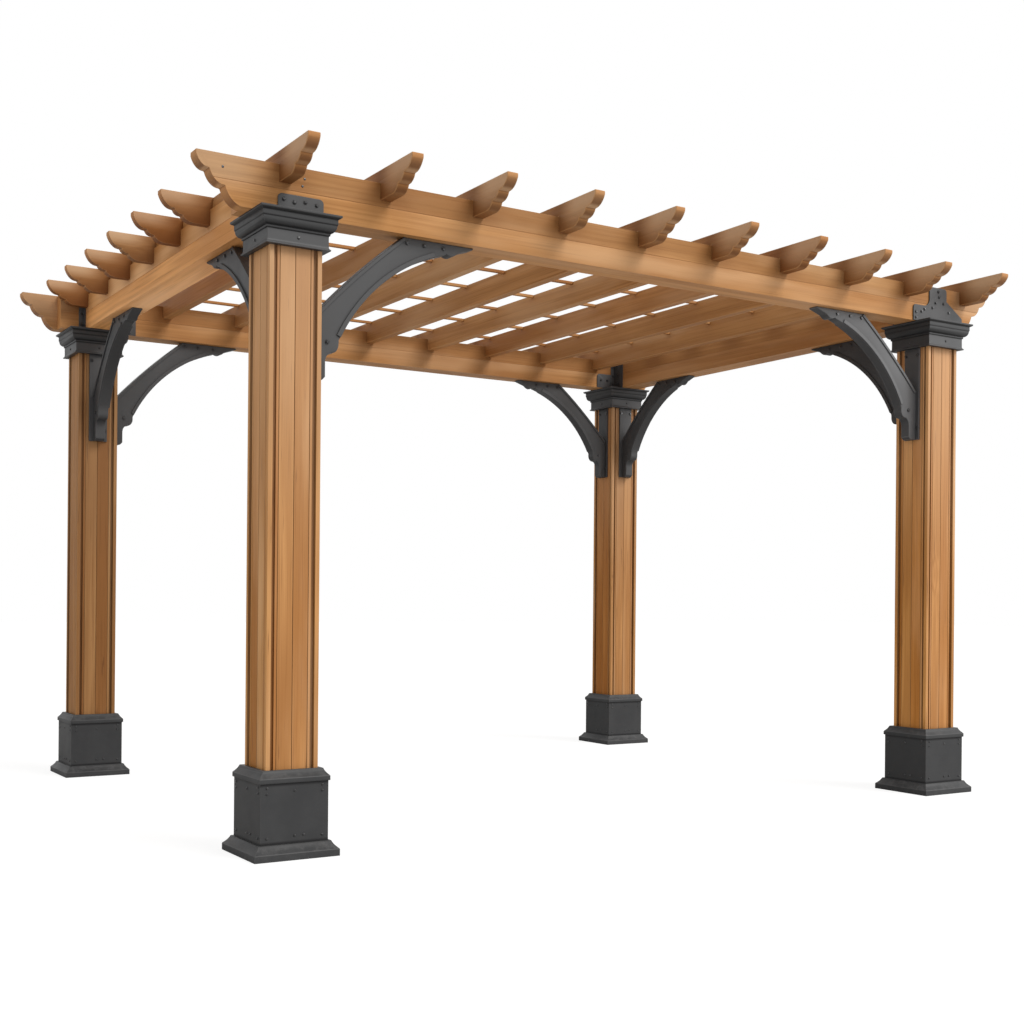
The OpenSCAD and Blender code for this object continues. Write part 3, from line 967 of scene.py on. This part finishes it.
@dataclass
class BraceLips:
    """Raised lips along a brace's upper edge and along its arch, on both of its sides."""

    brace: Brace
    shade: float
    proud: float = 0.005
    sink: float = 0.002
    ease: float = 0.0012
    steps: int = 20
    edges: tuple[LipEdge, ...] = (
        LipEdge((0.000, 0.322), (0.346, 0.000), 0.010, -0.013, 0.0, 1.0),
        LipEdge((0.093, 0.400), (0.516, 0.041), 0.060, 0.017, 0.02, 0.92),
    )

    def build(self, finish: Material) -> Object:
        """Sweep the lips on both sides of the brace.

        Args:
            finish: The lips' material.

        Returns:
            The new piece.
        """
        bm = bmesh.new()
        shade = bm.faces.layers.float.new("shade")
        for edge in self.edges:
            for side in (-1, 1):
                self._sweep(bm, edge, side)
        sharp = [e for e in bm.edges if e.calc_face_angle_signed(0.0) > SHARP_ANGLE]
        bmesh.ops.bevel(bm, geom=sharp, offset=self.ease, offset_type="OFFSET", segments=1, profile=0.5,
                        affect="EDGES", clamp_overlap=True, material=-1)
        for face in bm.faces:
            face[shade] = self.shade
        return new_piece(f"{self.brace.node}_lips", bm, finish, METAL_SLOT)

    def _sweep(self, bm: BMesh, edge: LipEdge, side: int) -> None:
        """Spin one lip's section about the middle of its edge's arc.

        Args:
            bm: Where it goes.
            edge: The edge that it follows.
            side: Side of the brace, as a sign.
        """
        root, run, cross = self.brace.axes()
        out, down = cross * side, Vector((0, 0, -1))
        middle, radius = edge.arc()
        centre = root + run * middle.x + down * middle.y
        first, last = (run * (x - middle.x) + down * (y - middle.y) for x, y in (edge.start, edge.end))
        axis = first.cross(last).normalized()
        sweep = first.angle(last)
        radial = Matrix.Rotation(sweep * edge.begins, 3, axis) @ first.normalized()
        skin = centre + out * self.brace.half_thickness
        corners = ((radius, -self.sink), (radius + edge.width, -self.sink),
                   (radius + edge.width, self.proud), (radius, self.proud))
        section = [bm.verts.new(skin + radial * reach + out * lift) for reach, lift in corners]
        face = bm.faces.new(section)
        bmesh.ops.spin(bm, geom=section + list(face.edges) + [face], cent=centre, axis=axis,
                       angle=sweep * (edge.finishes - edge.begins), steps=self.steps, use_merge=False)
        bmesh.ops.recalc_face_normals(bm, faces=bm.faces)


@dataclass
class BracketBolts(Fasteners):
    """Bolts through the outer plate, the angles and the tongue over one capital."""

    corner: Corner
    head: ClassVar[HexHead] = HexHead(0.0060, 0.0036, 0.0076)
    beam_half: float = 0.060
    plate: float = 0.006
    angle_leg: float = 0.028
    angle_reach: float = 0.090
    angle_heights: tuple[float, ...] = (0.028, 0.078, 0.126)
    tongue_spots: tuple[float, ...] = (0.030, 0.078)
    tongue_height: float = 0.046
    low_spots: tuple[Spot, ...] = ((-0.035, 0.049), (0.004, 0.043), (0.044, 0.049), (0.086, 0.045))
    bell_spots: tuple[Spot, ...] = (
        (0.000, 0.148), (0.006, 0.124), (-0.018, 0.094), (0.036, 0.096), (-0.038, 0.070), (0.072, 0.058),
        (-0.092, 0.058), (-0.112, 0.044), (-0.148, 0.040), (-0.148, 0.014),
    )

    def spots(self) -> Iterator[Seat]:
        """Set the bolts of one bracket.

        Yields:
            Each bolt's point and direction.
        """
        post = plan_middle(f"post_{self.corner.label}", SOFFIT)
        hand, depth = self.corner.value
        outward = Vector((0, depth, 0))
        face = self.beam_half + self.plate
        for across, height in self.bell_spots if hand > 0 else self.low_spots:
            yield post + outward * face + Vector((across, 0, height)), outward
        middle_leg = face + (self.angle_leg - self.plate) / 2
        for side in (-1, 1):
            leg = self.angle_leg if side == hand else self.angle_reach
            middle_reach = face + (leg - self.plate) / 2
            for height in self.angle_heights:
                yield post + Vector((side * middle_leg, -depth * face, height)), -outward
                yield post + Vector((side * face, -depth * middle_reach, height)), Vector((side, 0, 0))
        for spot in self.tongue_spots:
            across = -hand * (self.beam_half + self.angle_leg + spot)
            yield post + Vector((across, -depth * face, self.tongue_height)), -outward


@dataclass
class BeamBolts(Fasteners):
    """Coach bolts through a main beam over its left post and in its left tail."""

    depth: int
    head: ClassVar[DomeHead] = DomeHead(0.0046, 0.0024)
    post_x: float = -1.610
    bolts: tuple[Spot, ...] = ((0.043, 0.130), (0.035, 0.104), (-0.249, 0.122))

    def spots(self) -> Iterator[Seat]:
        """Set the bolts on the beam's outer face.

        Yields:
            Each bolt's point and direction.
        """
        low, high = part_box(self.node)
        face = high.y if self.depth > 0 else low.y
        for across, height in self.bolts:
            yield Vector((self.post_x + across, face, SOFFIT + height)), Vector((0, self.depth, 0))


@dataclass
class Pergola:
    """The whole pergola: eased copies of every node, the braces' lips and the fasteners."""

    frame: dict[str, Any]
    post_ease: float = 0.0012
    beam_ease: float = 0.004
    rafter_ease: float = 0.003
    metal_ease: float = 0.0016
    brace_ease: float = 0.006
    # painted light and shade on each post, partly the posts' own tone
    post_shades: tuple[tuple[str, float], ...] = (
        ("post_front_left", 1.12), ("post_front_right", 1.17), ("post_back_left", 0.80),
        ("post_back_right", 1.02),
    )
    shaded_post: str = "post_back_left"
    # painted light on each beam and on its lower board, partly paler wood
    beam_shades: tuple[tuple[str, float, float], ...] = (
        ("left_side_beam", 1.44, 1.22), ("front_beam", 1.0, 1.18),
    )
    # painted light: one brace's coat is made lighter
    bleached_brace: str = "brace_front_right_x"
    bleached_shade: float = 1.6
    # heights of the painted shade along the creases
    base_creases: tuple[float, ...] = (0.055, 0.252)
    capital_creases: tuple[float, ...] = (2.113, 2.123, 2.148, 2.167)
    capital_crease_half: float = 0.005

    def build(self) -> None:
        """Build and dress every piece."""
        self._timber()
        self._metal()
        self._fasteners()

    def _timber(self) -> None:
        """Dress the posts, beams and rafters."""
        cedar = self._cedar()
        post_shades = dict(self.post_shades)
        beam_shades = {node: (shade, lower) for node, shade, lower in self.beam_shades}
        for node in sorted(self.frame["nodes"]):
            if node in post_shades:
                finish = cedar["shaded_post" if node == self.shaded_post else "post"]
                shade = post_shades[node]
                CladPost(node, finish, "cedar_post", self.post_ease, shade=shade).build(self.frame)
            elif node.endswith("beam"):
                finish = cedar["side_beam" if node.endswith("side_beam") else "beam"]
                shade, lower = beam_shades.get(node, (1.0, 1.0))
                beam = BuiltBeam(node, finish, "cedar_beam", self.beam_ease, shade=shade, lower_share=lower)
                beam.build(self.frame)
            elif "rafter" in node:
                finish = cedar[node.rpartition("_")[0]]
                EasedCopy(node, finish, "cedar_rafter", self.rafter_ease).build(self.frame)

    def _cedar(self) -> dict[str, Material]:
        """Make the timber's finishes.

        Returns:
            The materials, by the kind of timber.
        """
        post = CedarFinish(
            "cedar_post_upright", Grain.ALONG_Z, band_scale=17.0, check_share=0.55, sunned_from=0.8,
            sunned_to=2.1, sunned_low=-2.0, sunned_high=-1.0, sunned_share=0.4, sheltered_share=1.0,
        )
        rafter_start, rafter_pitch = self._spacing("rafter_01", "rafter_02", Grain.ALONG_X)
        cross_start, cross_pitch = self._spacing("cross_rafter_1", "cross_rafter_2", Grain.ALONG_Y)
        finishes = {
            "post": post,
            # painted shade: the back-left post's finish is less pale and takes less painted light
            "shaded_post": replace(post, name="cedar_post_shaded", bloom_share=0.25, sunned_share=0.15),
            "beam": CedarFinish(
                "cedar_beam_lengthwise", Grain.ALONG_X, band_scale=12.0, sunned_from=1.66, sunned_to=1.84,
                sunned_low=2.20, sunned_high=2.30, sunned_share=0.5, stain_start=rafter_start,
                stain_pitch=rafter_pitch, stain_share=0.5,
            ),
            "side_beam": CedarFinish(
                "cedar_beam_crosswise", Grain.ALONG_Y, band_scale=12.0, stain_start=cross_start,
                stain_pitch=cross_pitch, stain_share=0.5,
            ),
            "rafter": CedarFinish(
                "cedar_rafter_deep", Grain.ALONG_Y, knot_share=0.0, sunned_from=1.28, sunned_to=1.42,
                root_at=1.285, soiled_share=0.6, sunned_share=0.8,
            ),
            "cross_rafter": CedarFinish(
                "cedar_rafter_wide", Grain.ALONG_X, knot_share=0.0, sunned_from=1.68, sunned_to=1.80,
                sunned_low=2.33, root_at=1.670, soiled_high=2.39, soiled_share=0.95, sunned_share=0.75,
            ),
        }
        return {kind: finish.material() for kind, finish in finishes.items()}

    @staticmethod
    def _spacing(first: str, second: str, across: Grain) -> tuple[float, float]:
        """Give the middle of the first rafter of a row, and the distance to the next one's."""
        here, there = (plan_middle(node)[across.value] for node in (first, second))
        return here, there - here

    def _metal(self) -> None:
        """Dress the bases, capitals, braces and brackets, and add the braces' lips."""
        coat = PowderCoat("charcoal_powder_coat").material()
        finishes = {
            "base": PowderCoat("charcoal_base_coat", creases=self.base_creases).material(),
            "capital": PowderCoat(
                "charcoal_capital_coat", creases=self.capital_creases, crease_half=self.capital_crease_half,
                crown_from=self.capital_creases[0],
            ).material(),
            "bracket": coat,
        }
        for node in sorted(self.frame["nodes"]):
            kind = node.split("_")[0]
            if kind in finishes:
                EasedCopy(node, finishes[kind], METAL_SLOT, self.metal_ease).build(self.frame)
            elif kind == "brace":
                shade = self._brace_shade(node)
                EasedCopy(node, coat, METAL_SLOT, self.brace_ease, shade=shade).build(self.frame)
        for corner in Corner:
            for along in (Grain.ALONG_X, Grain.ALONG_Y):
                brace = Brace(corner, along)
                BraceLips(brace, self._brace_shade(brace.node)).build(coat)

    def _brace_shade(self, node: str) -> float:
        """Say what share of the plain coat's light a brace has."""
        return self.bleached_shade if node == self.bleached_brace else 1.0

    def _fasteners(self) -> None:
        """Add rivets, screws and bolts."""
        steel = BoltFinish("blackened_bolt").material()
        for corner in Corner:
            PlinthRivets(f"base_{corner.label}").build(steel)
            NeckScrews(f"capital_{corner.label}").build(steel)
            BracketBolts(f"bracket_{corner.label}", corner).build(steel)
            for along in (Grain.ALONG_X, Grain.ALONG_Y):
                brace = Brace(corner, along)
                BraceBolts(brace.node, brace).build(steel)
        zinc = BoltFinish("dulled_zinc", body=(0.075, 0.077, 0.082), rubbed=(0.130, 0.130, 0.130)).material()
        BeamBolts("front_beam", -1).build(zinc)
        BeamBolts("back_beam", 1).build(zinc)


@dataclass
class Studio:
    """Pale floor, soft light and the photograph's camera."""

    camera_place: Point = (-3.4266, -5.6116, 0.8777)
    camera_yaw: float = 0.5598
    camera_roll: float = math.radians(0.5)
    camera_reach: float = 200.0
    focal_mm: float = 47.81
    sensor_mm: float = 36.0
    shift_up: float = 0.0855
    floor_half: float = 40.0
    floor_colour: Colour = (0.56, 0.56, 0.56)
    floor_fleck: Colour = (0.60, 0.60, 0.60)
    fleck_share: float = 0.03
    floor_glow: float = 0.85
    floor_share: float = 0.37
    sky_colour: Colour = (1.0, 0.985, 0.965)
    sky_strength: float = 0.64
    key_colour: Colour = (1.0, 0.98, 0.95)
    key_strength: float = 2.05
    key_angle: float = math.radians(30)
    key_from: Point = (0.55, -1.0, 1.05)
    softbox_place: Point = (5.0, -4.6, 3.0)
    softbox_aim: Point = (1.6, -1.3, 2.1)
    softbox_watts: float = 60.0
    softbox_size: tuple[float, float] = (2.6, 1.6)

    def build(self) -> None:
        """Set the floor, the light, the camera and the view."""
        self._floor()
        self._sky()
        self._key()
        self._softbox()
        self._camera()
        bpy.context.scene.view_settings.view_transform = "Standard"

    def _floor(self) -> None:
        """Lay the floor, which the camera sees as white and which keeps the shadows."""
        bm = bmesh.new()
        bmesh.ops.create_grid(bm, x_segments=2, y_segments=2, size=self.floor_half)
        mesh = new_mesh("floor", bm)
        g = Graph(bpy.data.materials.new("pale_floor"))
        colour = g.wash(self.floor_colour, self.floor_fleck, g.noise(g.place(), 3.0, 3.0), self.fleck_share)
        seen = g.add("ShaderNodeLightPath").outputs["Is Camera Ray"]
        share = g.mix(seen, WHITE, (self.floor_share,) * 3)
        mesh.materials.append(g.finish({
            "Base Color": g.mix(1.0, colour, share, "MULTIPLY"),
            "Roughness": 1.0,
            "Specular IOR Level": 0.0,
            "Emission Color": (*WHITE, 1.0),
            "Emission Strength": g.times(seen, self.floor_glow),
        }))
        floor = bpy.data.objects.new("floor", mesh)
        bpy.context.scene.collection.objects.link(floor)

    def _sky(self) -> None:
        """Light the scene evenly, and show the camera and gloss a white background."""
        world = bpy.data.worlds.new("studio")
        bpy.context.scene.world = world
        g = Graph(world)
        path = g.add("ShaderNodeLightPath").outputs
        mirrored = g.math("MAXIMUM", path["Is Glossy Ray"], path["Is Transmission Ray"])
        seen = g.math("MAXIMUM", path["Is Camera Ray"], mirrored)
        lit = g.add("ShaderNodeBackground", {"Color": (*self.sky_colour, 1.0), "Strength": self.sky_strength})
        white = g.add("ShaderNodeBackground", {"Color": (*WHITE, 1.0), "Strength": 1.0})
        shown = g.add("ShaderNodeMixShader", {0: seen, 1: lit.outputs[0], 2: white.outputs[0]})
        g.add("ShaderNodeOutputWorld", {"Surface": shown.outputs[0]})

    def _key(self) -> None:
        """Hang a wide soft key light to the front right."""
        light = bpy.data.lights.new("key", "SUN")
        light.energy = self.key_strength
        light.angle = self.key_angle
        light.color = self.key_colour
        self._hang(light, Vector(), Vector(self.key_from))

    def _softbox(self) -> None:
        """Stand a softbox to the right, for the sheen on the right-hand metal."""
        light = bpy.data.lights.new("softbox", "AREA")
        light.shape = "RECTANGLE"
        light.size, light.size_y = self.softbox_size
        light.energy = self.softbox_watts
        place = Vector(self.softbox_place)
        self._hang(light, place, place - Vector(self.softbox_aim))

    @staticmethod
    def _hang(light: Light, place: Vector, away: Vector) -> None:
        """Put a light into the scene.

        Args:
            light: The light's data.
            place: Where it hangs.
            away: Direction from what it lights to the light.
        """
        lamp = bpy.data.objects.new(light.name, light)
        lamp.location = place
        lamp.rotation_euler = away.to_track_quat("Z", "Y").to_euler()
        bpy.context.scene.collection.objects.link(lamp)

    def _camera(self) -> None:
        """Stand the camera where the photograph was taken."""
        data = bpy.data.cameras.new("camera")
        data.lens = self.focal_mm
        data.sensor_width = self.sensor_mm
        data.shift_y = self.shift_up
        data.clip_end = self.camera_reach
        camera = bpy.data.objects.new("camera", data)
        level = Matrix.Rotation(-self.camera_yaw, 4, "Z") @ Matrix.Rotation(math.pi / 2, 4, "X")
        camera.matrix_world = (
            Matrix.Translation(self.camera_place) @ level @ Matrix.Rotation(self.camera_roll, 4, "Z")
        )
        bpy.context.scene.collection.objects.link(camera)
        bpy.context.scene.camera = camera


def main() -> None:
    """Load the frame, dress the pergola and set the studio."""
    logging.basicConfig(level=logging.INFO, format="%(name)s: %(message)s")
    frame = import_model()
    Studio().build()
    Pergola(frame).build()


if __name__ == "__main__":
    main()
